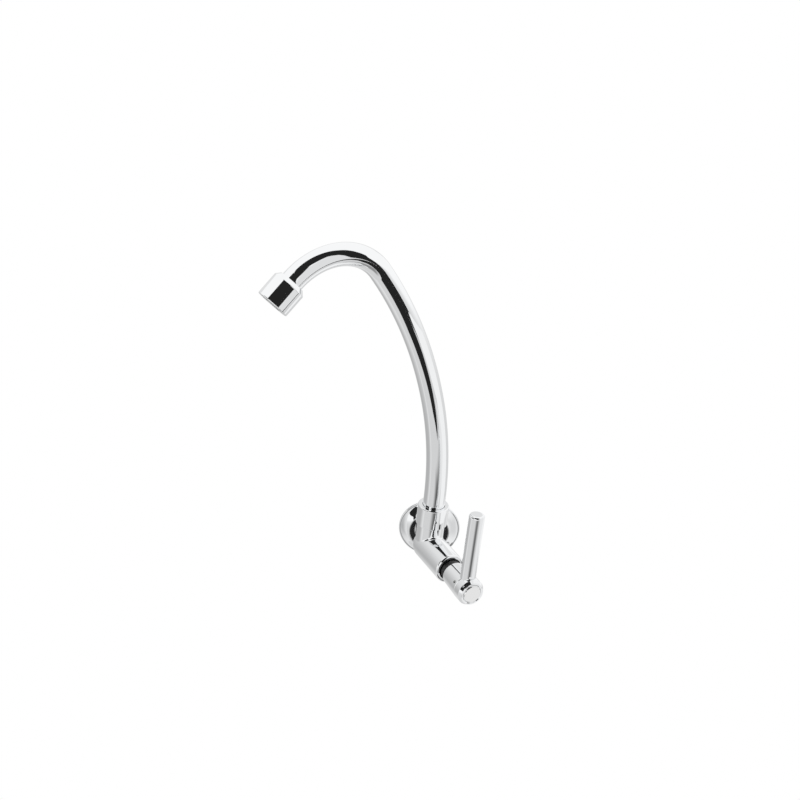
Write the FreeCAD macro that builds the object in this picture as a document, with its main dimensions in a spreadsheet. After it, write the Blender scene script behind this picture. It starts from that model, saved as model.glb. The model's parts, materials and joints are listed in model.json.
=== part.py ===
import FreeCAD, Part
import math
import os
import re

import Sketcher

# Wall-mounted kitchen tap with a swivelling high spout and a lever valve.
# Millimetres, +Z up, origin on the inlet axis in the wall plane, -Y out of the wall.
# The cast body is a short inlet neck, an upright column with the spout's socket, and
# a level valve barrel turned to the right. A quarter-turn ceramic headwork screws into
# the barrel, and its spindle carries the handle. The spout turns in its socket on two
# O-rings and ends in an aerator.

os.makedirs("parts", exist_ok=True)
document = FreeCAD.newDocument("wall_tap")
sheet = document.addObject("Spreadsheet::Sheet", "sizes")
Vector = FreeCAD.Vector

# Driving dimensions in millimetres and degrees.
DRIVING = {
    # Clearances
    "running_fit": "0.05",
    "seat_gap": "0.3",
    "overcut": "1",
    # Inlet and wall flange
    "column_offset": "30",
    "inlet_thread_radius": "10.4775",
    "inlet_thread_length": "20",
    "inlet_shoulder": "2",
    "thread_chamfer": "1.2",
    "neck_radius": "12",
    "inlet_bore_radius": "5",
    "flange_radius": "27.5",
    "flange_depth": "8",
    "flange_sheet": "1",
    "flange_rim_width": "1.6",
    "flange_rim_height": "1.8",
    "flange_crest_radius": "18.2",
    "flange_crest_width": "0.8",
    "flange_crown_bend": "16",
    "flange_dish_depth": "3",
    "flange_dish_land": "1",
    "flange_corner_shift": "0.25",
    "flange_rim_round": "0.7",
    "flange_crest_round": "0.8",
    # Column and spout socket
    "column_radius": "12.2",
    "cup_radius": "13.9",
    "cup_start": "22",
    "cup_taper": "1.2",
    "cup_round": "1",
    "socket_floor": "16",
    "socket_depth": "25.8",
    "waterway_radius": "5",
    "waterway_floor": "8.5",
    "passage_radius": "2.2",
    "passage_height": "8.7",
    "saddle_round": "2.5",
    # Valve barrel
    "barrel_turn": "29",
    "barrel_radius": "13.7",
    "barrel_round": "1.8",
    "seat_bore_radius": "4",
    "seat_station": "16",
    "chamber_radius": "9.25",
    "chamber_length": "20",
    "recess_radius": "10.4",
    "recess_depth": "7",
    # Ceramic headwork
    "cage_radius": "7.8",
    "cage_length": "7.8",
    "cavity_radius": "6.5",
    "cavity_depth": "10.8",
    "window_width": "5",
    "window_room": "0.5",
    "disc_radius": "6.4",
    "disc_thickness": "2.5",
    "disc_port_radius": "4.9",
    "disc_port_inner": "1.6",
    "seal_height": "2",
    "washer_thickness": "1",
    "collar_flats": "17",
    "collar_height": "4",
    "stem_neck_radius": "6.5",
    "stem_neck_length": "11",
    "stem_radius": "3.95",
    "stem_foot_height": "2.5",
    "stem_square": "5.4",
    "drive_key_width": "3",
    "drive_key_length": "9",
    "drive_key_height": "1.4",
    "stem_ring_section": "0.52",
    "stem_ring_station": "3",
    "stem_ring_play": "0.6",
    "clip_thickness": "1",
    "clip_radius": "5.6",
    "clip_depth": "0.75",
    "clip_room": "4",
    "gap_ring_inset": "0.8",
    "tapped_depth": "10",
    # Handle
    "handle_gap": "7",
    "hub_length": "33",
    "hub_rear_radius": "11",
    "hub_radius": "12.3",
    "hub_flare": "23.3",
    "hub_line_width": "0.5",
    "hub_line_depth": "0.3",
    "hub_round": "1.8",
    "hub_rear_round": "0.6",
    "hub_wall": "1.8",
    "cap_seat_radius": "8.4",
    "cap_seat_depth": "2",
    "cap_height": "2.4",
    "cap_dome": "0.25",
    "cap_round": "0.6",
    "trim_ring_radius": "10.3",
    "trim_ring_height": "1.8",
    "trim_ring_round": "0.9",
    "screw_head_radius": "3.5",
    "screw_head_height": "2.8",
    "screw_radius": "1.6",
    "screw_recess": "4",
    "screw_length": "4",
    "screw_play": "0.4",
    "screw_head_play": "1",
    "screw_socket_radius": "1.5",
    "screw_socket_floor": "1",
    "grub_radius": "1.45",
    "grub_station": "20",
    "grub_angle": "62",
    "grub_sunk": "0.2",
    "grub_socket_radius": "0.7",
    "grub_socket_depth": "1.2",
    "lever_setback": "9.5",
    "lever_radius": "6.85",
    "lever_length": "61.7",
    "lever_round": "2.2",
    "stud_radius": "2.95",
    "stud_in_hub": "6.4",
    "stud_in_lever": "9.3",
    # Spout
    "spout_turn": "53",
    "tube_radius": "9.75",
    "tube_wall": "1",
    "tube_play": "0.25",
    "tube_insert": "6",
    "bend_start": "42",
    "lower_bend": "345",
    "lower_sweep": "17.5",
    "upper_bend": "430",
    "upper_sweep": "21",
    "crown_bend": "57",
    "crown_sweep": "97",
    "outlet_straight": "24",
    "spigot_bore_radius": "6.5",
    "spigot_washer": "1",
    "groove_floor_radius": "8",
    "groove_width": "2.4",
    "nose_setback": "1",
    "lower_groove": "6",
    "upper_groove": "11.5",
    "snap_groove": "2",
    "snap_height": "1.2",
    "snap_depth": "0.9",
    # Outlet housing and aerator
    "housing_radius": "14.6",
    "housing_cone": "3.8",
    "housing_wall": "2.1",
    "housing_round": "0.8",
    "adapter_start": "5",
    "adapter_wall": "1.8",
    "adapter_lip": "2",
    "tube_end_depth": "10",
    "insert_floor": "1.3",
    "insert_wall": "1.5",
    "insert_hole_radius": "0.9",
    "insert_hole_inset": "5.2",
    "insert_holes": "12",
    "outlet_lip": "1.1",
    "outlet_lip_height": "1.4",
    "sealing_ring_height": "1.2",
    "screen_thickness": "0.6",
}

# Sizes that follow from the driving ones: heights, stations along the barrel from the
# column's axis, and the places where the spout's arcs meet.
DERIVED = {
    "column_top": "socket_floor + socket_depth",
    "neck_length": "column_offset - inlet_shoulder",
    "flange_hole_radius": "neck_radius + seat_gap",
    "chamber_mouth": "seat_station + chamber_length",
    "barrel_end": "chamber_mouth + recess_depth",
    "collar_start": "chamber_mouth + washer_thickness",
    "collar_end": "collar_start + collar_height",
    "neck_end": "collar_end + stem_neck_length",
    "cage_start": "seat_station + seal_height - 0.8",
    "cavity_end": "cage_start + cavity_depth",
    "fixed_disc_start": "seat_station + seal_height",
    "moving_disc_start": "fixed_disc_start + disc_thickness + running_fit",
    "foot_start": "moving_disc_start + disc_thickness + running_fit",
    "foot_end": "foot_start + stem_foot_height",
    "stem_bore_radius": "stem_radius + running_fit",
    "clip_start": "neck_end + seat_gap",
    "square_start": "clip_start + clip_thickness + seat_gap",
    "handle_start": "barrel_end + handle_gap",
    "hub_line": "handle_start + hub_flare",
    "boss_start": "neck_end + clip_room",
    "hub_front": "handle_start + hub_length",
    "cap_seat": "hub_front - cap_seat_depth",
    "screw_seat": "cap_seat - screw_recess",
    "stem_end": "screw_seat - screw_length",
    "lever_station": "hub_front - lever_setback",
    "lever_top": "hub_radius + lever_length",
    "lever_x": "lever_station * sin(barrel_turn)",
    "lever_y": "-column_offset - lever_station * cos(barrel_turn)",
    "grub_x": "(handle_start + grub_station) * sin(barrel_turn)",
    "grub_y": "-column_offset - (handle_start + grub_station) * cos(barrel_turn)",
    "hub_bore_radius": "hub_rear_radius - hub_wall",
    "cap_radius": "cap_seat_radius - running_fit",
    "cap_ball": "(cap_radius ^ 2 + cap_dome ^ 2) / (2 * cap_dome)",
    "grub_end": "hub_rear_radius - grub_sunk",
    "tube_bore_radius": "tube_radius - tube_wall",
    "tube_start": "column_top - tube_insert",
    "socket_radius": "tube_radius + tube_play",
    "spigot_radius": "socket_radius - running_fit",
    "spigot_start": "socket_floor + spigot_washer + running_fit",
    "lower_end_x": "lower_bend * (1 - cos(lower_sweep))",
    "lower_end_z": "bend_start + lower_bend * sin(lower_sweep)",
    "upper_lean": "lower_sweep + upper_sweep",
    "upper_end_x": "lower_end_x + upper_bend * (cos(lower_sweep) - cos(upper_lean))",
    "upper_end_z": "lower_end_z + upper_bend * (sin(upper_lean) - sin(lower_sweep))",
    "outlet_lean": "upper_lean + crown_sweep",
    "crown_end_x": "upper_end_x + crown_bend * (cos(upper_lean) - cos(outlet_lean))",
    "crown_end_z": "upper_end_z + crown_bend * (sin(outlet_lean) - sin(upper_lean))",
    "tube_end": "outlet_straight - tube_end_depth",
    "tube_end_x": "crown_end_x + tube_end * sin(outlet_lean)",
    "tube_end_z": "crown_end_z + tube_end * cos(outlet_lean)",
    "outlet_x": "-crown_end_x * sin(spout_turn)",
    "outlet_y": "-column_offset - crown_end_x * cos(spout_turn)",
    "adapter_radius": "tube_radius + running_fit + adapter_wall",
    "adapter_end": "tube_end + adapter_lip",
    "housing_collar_radius": "(tube_radius + housing_radius) / 2 - 1",
    "insert_bore_radius": "housing_radius - housing_wall",
    "insert_radius": "insert_bore_radius - 2 * running_fit",
    "outlet_lip_radius": "insert_bore_radius - outlet_lip",
    "insert_start": "adapter_end + sealing_ring_height",
    "outlet_lip_start": "outlet_straight - outlet_lip_height",
}


def fill_sheet():
    """Write the driving sizes as numbers and the derived ones as formulas."""
    rows = list(DRIVING.items()) + [(name, "=" + rule) for name, rule in DERIVED.items()]
    for row, (name, text) in enumerate(rows, start=1):
        sheet.set("A%d" % row, name)
        sheet.set("B%d" % row, text)
        sheet.setAlias("B%d" % row, name)
    document.recompute()


def rule(text):
    """Turn a rule in sheet names into an expression that an object can be bound to."""
    def named(match):
        word = match.group()
        return "sizes." + word if word in DRIVING or word in DERIVED else word
    return re.sub(r"[a-z_]+", named, text)


def size(text):
    """The present value of a rule in sheet names."""
    return float(sheet.evalExpression(rule(text)))


def frame(base, turns):
    """A placement rule from a base point and yaw, pitch and roll."""
    return rule("placement(vector(%s); rotation(%s))" % (base, turns))


# How near an edge must be to its worked-out place to be taken as that edge.
NEAR = 1e-3
# Half the opening angle of a disc port, and how far the two open rings run round.
PORT_HALF_ANGLE = 32
CLIP_TURN = 300
SNAP_RING_TURN = 320
HEXAGON = 6

# Local Z runs out of the wall, up the column, along the barrel, up the lever, up the
# spout with local X towards its outlet, and along the outlet.
WALL = frame("0; 0; 0", "0; 0; 90")
COLUMN = frame("0; -column_offset; 0", "0; 0; 0")
BARREL = frame("0; -column_offset; 0", "barrel_turn; 0; 90")
LEVER = frame("lever_x; lever_y; 0", "barrel_turn; 0; 0")
GRUB = frame("grub_x; grub_y; 0", "barrel_turn; -grub_angle; 0")
SPOUT = frame("0; -column_offset; 0", "-90 - spout_turn; 0; 0")
OUTLET = frame("outlet_x; outlet_y; crown_end_z", "-90 - spout_turn; outlet_lean; 0")


def new_body(name, place):
    """A body with its own label, placed by a rule."""
    body = document.addObject("PartDesign::Body", name)
    body.Label = name
    body.setExpression("Placement", place)
    return body


def new_sketch(body, name, plane):
    """An empty sketch on one of the body's own origin planes."""
    sketch = body.newObject("Sketcher::SketchObject", name)
    origin_plane = next(p for p in body.Origin.OriginFeatures if p.Role == plane)
    sketch.AttachmentSupport = [(origin_plane, "")]
    sketch.MapMode = "FlatFace"
    return sketch


def bind_point(sketch, edge, end, across, along):
    """Tie one end of an edge to a place given by two rules."""
    for axis, text, other_axis in (("DistanceX", across, -2), ("DistanceY", along, -1)):
        if text == "0":
            sketch.addConstraint(Sketcher.Constraint("PointOnObject", edge, end, other_axis))
            continue
        value = size(text)
        index = sketch.addConstraint(Sketcher.Constraint(axis, -1, 1, edge, end, value))
        sketch.setExpression("Constraints[%d]" % index, rule(text))


def arc_through(start, end, radius):
    """An arc that bulges to the left of the way from start to end, or right if negative."""
    chord = end - start
    middle = (start + end) * 0.5
    left = Vector(-chord.y, chord.x, 0).normalize()
    sagitta = abs(radius) - math.sqrt(radius ** 2 - (chord.Length / 2) ** 2)
    return Part.Arc(start, middle + left * math.copysign(sagitta, radius), end)


def draw_outline(sketch, corners, closed=True):
    """Draw straight or round edges between corners that are tied to the sheet.

    A corner is (across, along) or (across, along, radius), where the radius rounds the
    edge that leaves it, to its left or, with a leading minus, to its right."""
    places = [Vector(size(c[0]), size(c[1]), 0) for c in corners]
    count = len(corners) if closed else len(corners) - 1
    for i in range(count):
        start, end = places[i], places[(i + 1) % len(corners)]
        if len(corners[i]) == 3:
            sketch.addGeometry(arc_through(start, end, size(corners[i][2])), False)
        else:
            sketch.addGeometry(Part.LineSegment(start, end), False)
    # An arc that bulges left runs clockwise, so its stored ends are the other way round.
    flipped = [len(c) == 3 and size(c[2]) > 0 for c in corners]
    first = [2 if flipped[i] else 1 for i in range(count)]
    last = [1 if flipped[i] else 2 for i in range(count)]
    joints = count if closed else count - 1
    for i in range(joints):
        after = (i + 1) % count
        sketch.addConstraint(Sketcher.Constraint("Coincident", i, last[i], after, first[after]))
    for i in range(count):
        bind_point(sketch, i, first[i], corners[i][0], corners[i][1])
        if len(corners[i]) == 3:
            radius = corners[i][2].lstrip("-")
            index = sketch.addConstraint(Sketcher.Constraint("Radius", i, size(radius)))
            sketch.setExpression("Constraints[%d]" % index, rule(radius))
    if not closed:
        bind_point(sketch, count - 1, last[-1], corners[-1][0], corners[-1][1])


def spin(body, name, corners, cut=False, plane="XZ_Plane", angle=360):
    """Turn an outline about the sketch's upright axis, as metal or as a cut."""
    sketch = new_sketch(body, name + "_outline", plane)
    draw_outline(sketch, corners)
    kind = "PartDesign::Groove" if cut else "PartDesign::Revolution"
    feature = body.newObject(kind, name)
    feature.Profile = sketch
    feature.ReferenceAxis = (sketch, ["V_Axis"])
    feature.Angle = angle
    document.recompute()
    return feature


def solid(body, kind, name, place, **sizes_by_name):
    """A cylinder or box of the body, added or cut, with its sizes bound to the sheet."""
    feature = body.newObject("PartDesign::" + kind, name)
    for key, text in sizes_by_name.items():
        feature.setExpression(key, rule(text))
    feature.setExpression("Placement", place)
    document.recompute()
    return feature


def rims(shape, radius, station, axis=Vector(0, 0, 1)):
    """Names of the round edges about an axis with this radius at this station."""
    names = []
    for index, edge in enumerate(shape.Edges, start=1):
        # The pole of a round face has an edge with no length and no curve.
        if edge.Degenerated:
            continue
        curve = edge.Curve
        if not isinstance(curve, Part.Circle) or abs(curve.Radius - radius) > NEAR:
            continue
        centre = curve.Center
        off_axis = (centre - axis * centre.dot(axis)).Length
        if off_axis < NEAR and abs(centre.dot(axis) - station) < NEAR:
            names.append("Edge%d" % index)
    return names


def dress(body, kind, name, base, edges, text):
    """Round or chamfer some edges of the body's last feature."""
    feature = body.newObject("PartDesign::" + kind, name)
    feature.Base = (base, edges)
    feature.setExpression("Radius" if kind == "Fillet" else "Size", rule(text))
    document.recompute()
    return feature


def round_rim(body, name, radius, station, text, axis=Vector(0, 0, 1)):
    """Round one turned edge of the body."""
    base = body.Tip
    edges = rims(base.Shape, size(radius), size(station), axis)
    return dress(body, "Fillet", name, base, edges, text)


def ring(name, place, inner, outer, start, end):
    """A plain turned ring or tube."""
    body = new_body(name, place)
    corners = [(inner, start), (outer, start), (outer, end), (inner, end)]
    spin(body, name + "_turned", corners)
    return body


def saddle_edges(shape):
    """Names of the edges where the column meets the barrel and its round back."""
    names = []
    barrel_radius, column_radius = size("barrel_radius"), size("column_radius")
    for index, edge in enumerate(shape.Edges, start=1):
        middle = edge.valueAt((edge.FirstParameter + edge.LastParameter) / 2)
        from_column = math.hypot(middle.x, middle.z)
        from_barrel = math.hypot(middle.x, middle.y) if middle.z > 0 else middle.Length
        on_both = max(abs(from_column - column_radius), abs(from_barrel - barrel_radius)) < NEAR
        if on_both and not edge.isClosed():
            names.append("Edge%d" % index)
    return names


def wall_end_edge(shape):
    """Name of the outer edge at the far end of the inlet thread."""
    thread_radius = size("inlet_thread_radius")
    far = size("neck_length + inlet_thread_length")
    for index, edge in enumerate(shape.Edges, start=1):
        curve = edge.Curve
        round_edge = isinstance(curve, Part.Circle) and abs(curve.Radius - thread_radius) < NEAR
        if round_edge and abs(curve.Center.Length - far) < NEAR:
            return ["Edge%d" % index]
    return []


def make_tap_body():
    """The casting: round-backed barrel, column with its cup, neck, thread and bores."""
    body = new_body("tap_body", BARREL)
    spin(body, "barrel_outside", [
        ("0", "-barrel_radius", "-barrel_radius"), ("barrel_radius", "0"),
        ("barrel_radius", "barrel_end"), ("0", "barrel_end")])
    spin(body, "column_outside", [
        ("0", "0"), ("column_radius", "0"), ("column_radius", "cup_start"),
        ("cup_radius", "cup_start + cup_taper"), ("cup_radius", "column_top"),
        ("0", "column_top")],
        plane="XY_Plane")
    saddle = body.Tip
    dress(body, "Fillet", "saddle_rounding", saddle, saddle_edges(saddle.Shape), "saddle_round")
    to_wall = "0; 180 - barrel_turn; 0"
    solid(body, "AdditiveCylinder", "inlet_neck", frame("0; 0; 0", to_wall),
          Radius="neck_radius", Height="neck_length")
    solid(body, "AdditiveCylinder", "inlet_thread",
          frame("0; 0; 0", to_wall), Radius="inlet_thread_radius",
          Height="neck_length + inlet_thread_length")
    spin(body, "barrel_bores", [
        ("0", "0"), ("seat_bore_radius", "0"), ("seat_bore_radius", "seat_station"),
        ("chamber_radius", "seat_station"), ("chamber_radius", "chamber_mouth"),
        ("recess_radius", "chamber_mouth"), ("recess_radius", "barrel_end + overcut"),
        ("0", "barrel_end + overcut")], cut=True)
    snap_top = "spigot_start + snap_groove + snap_height + seat_gap"
    snap_bottom = "spigot_start + snap_groove - seat_gap"
    snap_wall = "socket_radius + snap_depth"
    spin(body, "column_bores", [
        ("0", "waterway_floor"), ("waterway_radius", "waterway_floor"),
        ("waterway_radius", "socket_floor"), ("socket_radius", "socket_floor"),
        ("socket_radius", snap_bottom), (snap_wall, snap_bottom), (snap_wall, snap_top),
        ("socket_radius", snap_top), ("socket_radius", "column_top + overcut"),
        ("0", "column_top + overcut")], cut=True, plane="XY_Plane")
    solid(body, "SubtractiveCylinder", "inlet_bore", frame("0; 0; 0", to_wall),
          Radius="inlet_bore_radius", Height="column_offset + inlet_thread_length")
    solid(body, "SubtractiveCylinder", "passage", frame("0; passage_height; 0", "0; 0; 0"),
          Radius="passage_radius", Height="seat_station + overcut")
    thread_end = body.Tip
    dress(body, "Chamfer", "thread_lead", thread_end, wall_end_edge(thread_end.Shape),
          "thread_chamfer")
    round_rim(body, "barrel_rim", "barrel_radius", "barrel_end", "barrel_round")
    round_rim(body, "cup_rim", "cup_radius", "column_top", "cup_round",
              Vector(0, 1, 0))
    return body


def make_wall_flange():
    """The pressed cover plate: rim, crowned face, crest and a dish down to the neck."""
    body = new_body("wall_flange", WALL)
    rim_inside = "flange_radius - flange_rim_width"
    crest_inside = "flange_crest_radius - flange_crest_width"
    dish = "flange_depth - flange_dish_depth"
    spin(body, "flange_pressing", [
        ("flange_radius", "0"), ("flange_radius", "flange_rim_height"),
        (rim_inside, "flange_rim_height", "-flange_crown_bend"),
        ("flange_crest_radius", "flange_depth"), (crest_inside, "flange_depth"),
        ("flange_hole_radius + flange_dish_land", dish), ("flange_hole_radius", dish),
        ("flange_hole_radius", dish + " - flange_sheet"),
        ("flange_hole_radius + flange_dish_land + flange_corner_shift", dish + " - flange_sheet"),
        (crest_inside + " + flange_corner_shift", "flange_depth - flange_sheet"),
        ("flange_crest_radius - flange_corner_shift", "flange_depth - flange_sheet",
         "flange_crown_bend"),
        (rim_inside + " - flange_corner_shift", "flange_rim_height - flange_sheet"),
        ("flange_radius - flange_sheet", "flange_rim_height - flange_sheet"),
        ("flange_radius - flange_sheet", "0")])
    round_rim(body, "rim_edge", "flange_radius", "flange_rim_height", "flange_rim_round")
    round_rim(body, "crest_edge", "flange_crest_radius", "flange_depth", "flange_crest_round")
    return body


def make_headwork_body():
    """The brass insert: windowed cage, thread, hexagon collar, neck and stem bore."""
    body = new_body("headwork_body", BARREL)
    thread_radius = "chamber_radius - running_fit"
    cage_end = "cage_start + cage_length"
    spin(body, "headwork_turned", [
        ("cavity_radius", "cage_start"), ("cage_radius", "cage_start"),
        ("cage_radius", cage_end), (thread_radius, cage_end),
        (thread_radius, "collar_end"), ("stem_neck_radius", "collar_end"),
        ("stem_neck_radius", "neck_end"), ("stem_bore_radius", "neck_end"),
        ("stem_bore_radius", "cavity_end"), ("cavity_radius", "cavity_end")])
    hexagon = new_sketch(body, "collar_hexagon", "XY_Plane")
    corner = size("collar_flats") / math.sqrt(3)
    turn = 2 * math.pi / HEXAGON
    corners = [Vector(corner * math.cos(turn * i), corner * math.sin(turn * i), 0)
               for i in range(HEXAGON)]
    for i in range(HEXAGON):
        hexagon.addGeometry(Part.LineSegment(corners[i], corners[(i + 1) % HEXAGON]), False)
    hexagon.addGeometry(Part.Circle(Vector(0, 0, 0), Vector(0, 0, 1), corner), True)
    hexagon.addConstraint(Sketcher.Constraint("Coincident", HEXAGON, 3, -1, 1))
    for i in range(HEXAGON):
        hexagon.addConstraint(Sketcher.Constraint("Coincident", i, 2, (i + 1) % HEXAGON, 1))
        hexagon.addConstraint(Sketcher.Constraint("PointOnObject", i, 1, HEXAGON))
        if i:
            hexagon.addConstraint(Sketcher.Constraint("Equal", 0, i))
    hexagon.addConstraint(Sketcher.Constraint("PointOnObject", 0, 1, -1))
    index = hexagon.addConstraint(Sketcher.Constraint("Radius", HEXAGON, corner))
    hexagon.setExpression("Constraints[%d]" % index, rule("collar_flats / sqrt(3)"))
    inside = "stem_bore_radius + overcut"
    bore = hexagon.addGeometry(
        Part.Circle(Vector(0, 0, 0), Vector(0, 0, 1), size(inside)), False)
    hexagon.addConstraint(Sketcher.Constraint("Coincident", bore, 3, -1, 1))
    index = hexagon.addConstraint(Sketcher.Constraint("Radius", bore, size(inside)))
    hexagon.setExpression("Constraints[%d]" % index, rule(inside))
    hexagon.setExpression("AttachmentOffset.Base.z", rule("collar_start"))
    collar = body.newObject("PartDesign::Pad", "collar")
    collar.Profile = hexagon
    collar.setExpression("Length", rule("collar_height"))
    document.recompute()
    solid(body, "SubtractiveBox", "cage_windows",
          frame("-window_width / 2; -cage_radius - overcut; moving_disc_start", "0; 0; 0"),
          Length="window_width", Width="2 * (cage_radius + overcut)",
          Height="disc_thickness + window_room")
    return body


def port_corners(inner, outer, half_angle, turn):
    """The four corners of a disc port: a sector between two radii."""
    places = []
    for radius, angle in ((inner, turn - half_angle), (outer, turn - half_angle),
                          (outer, turn + half_angle), (inner, turn + half_angle)):
        places.append(("%s * cos(%g)" % (radius, angle), "%s * sin(%g)" % (radius, angle)))
    return places


def make_disc(name, start, radius, ports_reach, turn):
    """A ceramic disc with two ports on opposite sides."""
    body = new_body(name, BARREL)
    spin(body, name + "_blank", [
        ("0", start), (radius, start), (radius, start + " + disc_thickness"),
        ("0", start + " + disc_thickness")])
    for side in (0, 180):
        sketch = new_sketch(body, "%s_port_%d" % (name, side), "XY_Plane")
        draw_outline(sketch, port_corners("disc_port_inner", ports_reach, PORT_HALF_ANGLE, turn + side))
        sketch.setExpression("AttachmentOffset.Base.z", rule(start + " - overcut"))
        cut = body.newObject("PartDesign::Pocket", "%s_cut_%d" % (name, side))
        cut.Profile = sketch
        cut.Reversed = True
        cut.setExpression("Length", rule("disc_thickness + 2 * overcut"))
        document.recompute()
    return body


def make_discs():
    """The fixed disc, and the moving one that covers its ports at rest."""
    make_disc("fixed_disc", "fixed_disc_start", "disc_radius", "disc_port_radius", 90)
    moving = make_disc("moving_disc", "moving_disc_start", "disc_radius - running_fit",
                       "disc_port_radius", 0)
    solid(moving, "SubtractiveBox", "key_slot",
          frame("-drive_key_width / 2 - running_fit; -drive_key_length / 2 - running_fit; "
                "foot_start - running_fit - drive_key_height", "0; 0; 0"),
          Length="drive_key_width + 2 * running_fit",
          Width="drive_key_length + 2 * running_fit",
          Height="drive_key_height + overcut")


def square_corner(half, station):
    """First corner of a square bar that is turned so that one flat faces the grub screw."""
    return "(%s) * (sin(grub_angle) - cos(grub_angle)); " \
           "-(%s) * (sin(grub_angle) + cos(grub_angle)); %s" % (half, half, station)


def make_spindle():
    """The stem: keyed foot, shaft with ring and clip grooves, square and tapped end."""
    body = new_body("spindle", BARREL)
    ring_floor = "stem_radius - 2 * stem_ring_section"
    foot = "cavity_radius - seat_gap"
    ring_groove = "collar_end + stem_ring_station"
    groove_end = ring_groove + " + 2 * stem_ring_section + stem_ring_play"
    clip_floor = "stem_radius - clip_depth"
    clip_groove = "clip_start - 2 * running_fit"
    clip_groove_end = "clip_start + clip_thickness + 2 * running_fit"
    spin(body, "spindle_turned", [
        ("0", "foot_start"), (foot, "foot_start"), (foot, "foot_end"),
        ("stem_radius", "foot_end"), ("stem_radius", ring_groove), (ring_floor, ring_groove),
        (ring_floor, groove_end), ("stem_radius", groove_end), ("stem_radius", clip_groove),
        (clip_floor, clip_groove), (clip_floor, clip_groove_end),
        ("stem_radius", clip_groove_end), ("stem_radius", "square_start"),
        ("0", "square_start")])
    solid(body, "AdditiveBox", "spindle_square",
          frame(square_corner("stem_square / 2", "square_start - seat_gap / 2"),
                "grub_angle; 0; 0"),
          Length="stem_square", Width="stem_square",
          Height="stem_end - square_start + seat_gap / 2")
    solid(body, "AdditiveBox", "drive_key",
          frame("-drive_key_width / 2; -drive_key_length / 2; "
                "foot_start - drive_key_height", "0; 0; 0"),
          Length="drive_key_width", Width="drive_key_length", Height="drive_key_height + overcut")
    solid(body, "SubtractiveCylinder", "tapped_end",
          frame("0; 0; stem_end - tapped_depth", "0; 0; 0"),
          Radius="screw_radius + running_fit", Height="tapped_depth")
    return body


def squeezed_ring(name, place, centre_radius, section, middle):
    """A rubber ring that is squeezed in its groove: eight flats round a section radius."""
    flat = "(%s) * tan(22.5)" % section
    corners = []
    for across, along in ((-1, -1), (1, -1), (1, 1), (-1, 1)):
        wide = "%s + %d * (%s)" % (centre_radius, across, section), "%s + %d * %s" % (
            middle, along, flat)
        high = "%s + %d * %s" % (centre_radius, across, flat), "%s + %d * (%s)" % (
            middle, along, section)
        corners += [wide, high] if across * along > 0 else [high, wide]
    body = new_body(name, place)
    spin(body, name + "_turned", corners)


def make_headwork_trim():
    """Seat seal, thread washer, stem ring and clip, and the dark ring before the handle."""
    ring("seat_seal", BARREL, "seat_bore_radius + seat_gap", "disc_radius", "seat_station",
         "fixed_disc_start")
    ring("headwork_washer", BARREL, "chamber_radius + running_fit",
         "recess_radius - 2 * running_fit", "chamber_mouth", "collar_start")
    ring("gap_ring", BARREL, "stem_neck_radius + running_fit", "recess_radius - gap_ring_inset",
         "collar_end", "handle_start - seat_gap")
    squeezed_ring("spindle_ring", BARREL, "stem_radius - stem_ring_section",
                  "stem_ring_section",
                  "collar_end + stem_ring_station + stem_ring_section + stem_ring_play / 2")
    clip_inside = "stem_radius - clip_depth + running_fit"
    clip = new_body("spindle_clip", BARREL)
    spin(clip, "clip_turned", [
        (clip_inside, "clip_start"), ("clip_radius", "clip_start"),
        ("clip_radius", "clip_start + clip_thickness"),
        (clip_inside, "clip_start + clip_thickness")], angle=CLIP_TURN)


def make_handle_hub():
    """The hub: flared skirt, turned line, square bore, screw recess and cap seat."""
    body = new_body("handle_hub", BARREL)
    screw_hole = "screw_radius + screw_play"
    head_room = "screw_head_radius + screw_head_play"
    line_floor = "hub_radius - hub_line_depth"
    spin(body, "hub_turned", [
        (screw_hole, "boss_start"), ("hub_bore_radius", "boss_start"),
        ("hub_bore_radius", "handle_start"), ("hub_rear_radius", "handle_start"),
        ("hub_radius", "hub_line - hub_line_width / 2"), (line_floor, "hub_line"),
        ("hub_radius", "hub_line + hub_line_width / 2"), ("hub_radius", "hub_front"),
        ("cap_seat_radius", "hub_front"), ("cap_seat_radius", "cap_seat"),
        (head_room, "cap_seat"), (head_room, "screw_seat"), (screw_hole, "screw_seat")])
    solid(body, "SubtractiveBox", "square_bore",
          frame(square_corner("stem_square / 2 + running_fit", "boss_start - overcut"),
                "grub_angle; 0; 0"),
          Length="stem_square + 2 * running_fit", Width="stem_square + 2 * running_fit",
          Height="stem_end - boss_start + overcut + seat_gap")
    solid(body, "SubtractiveCylinder", "lever_socket",
          frame("0; hub_radius - stud_in_hub; lever_station", "0; 0; -90"),
          Radius="stud_radius + running_fit", Height="stud_in_hub + 2 * overcut")
    solid(body, "SubtractiveCylinder", "grub_hole",
          frame("0; 0; handle_start + grub_station", "grub_angle; 0; -90"),
          Radius="grub_radius + running_fit", Height="hub_radius + overcut")
    round_rim(body, "hub_front_edge", "hub_radius", "hub_front", "hub_round")
    round_rim(body, "hub_rear_edge", "hub_rear_radius", "handle_start", "hub_rear_round")
    return body


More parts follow.
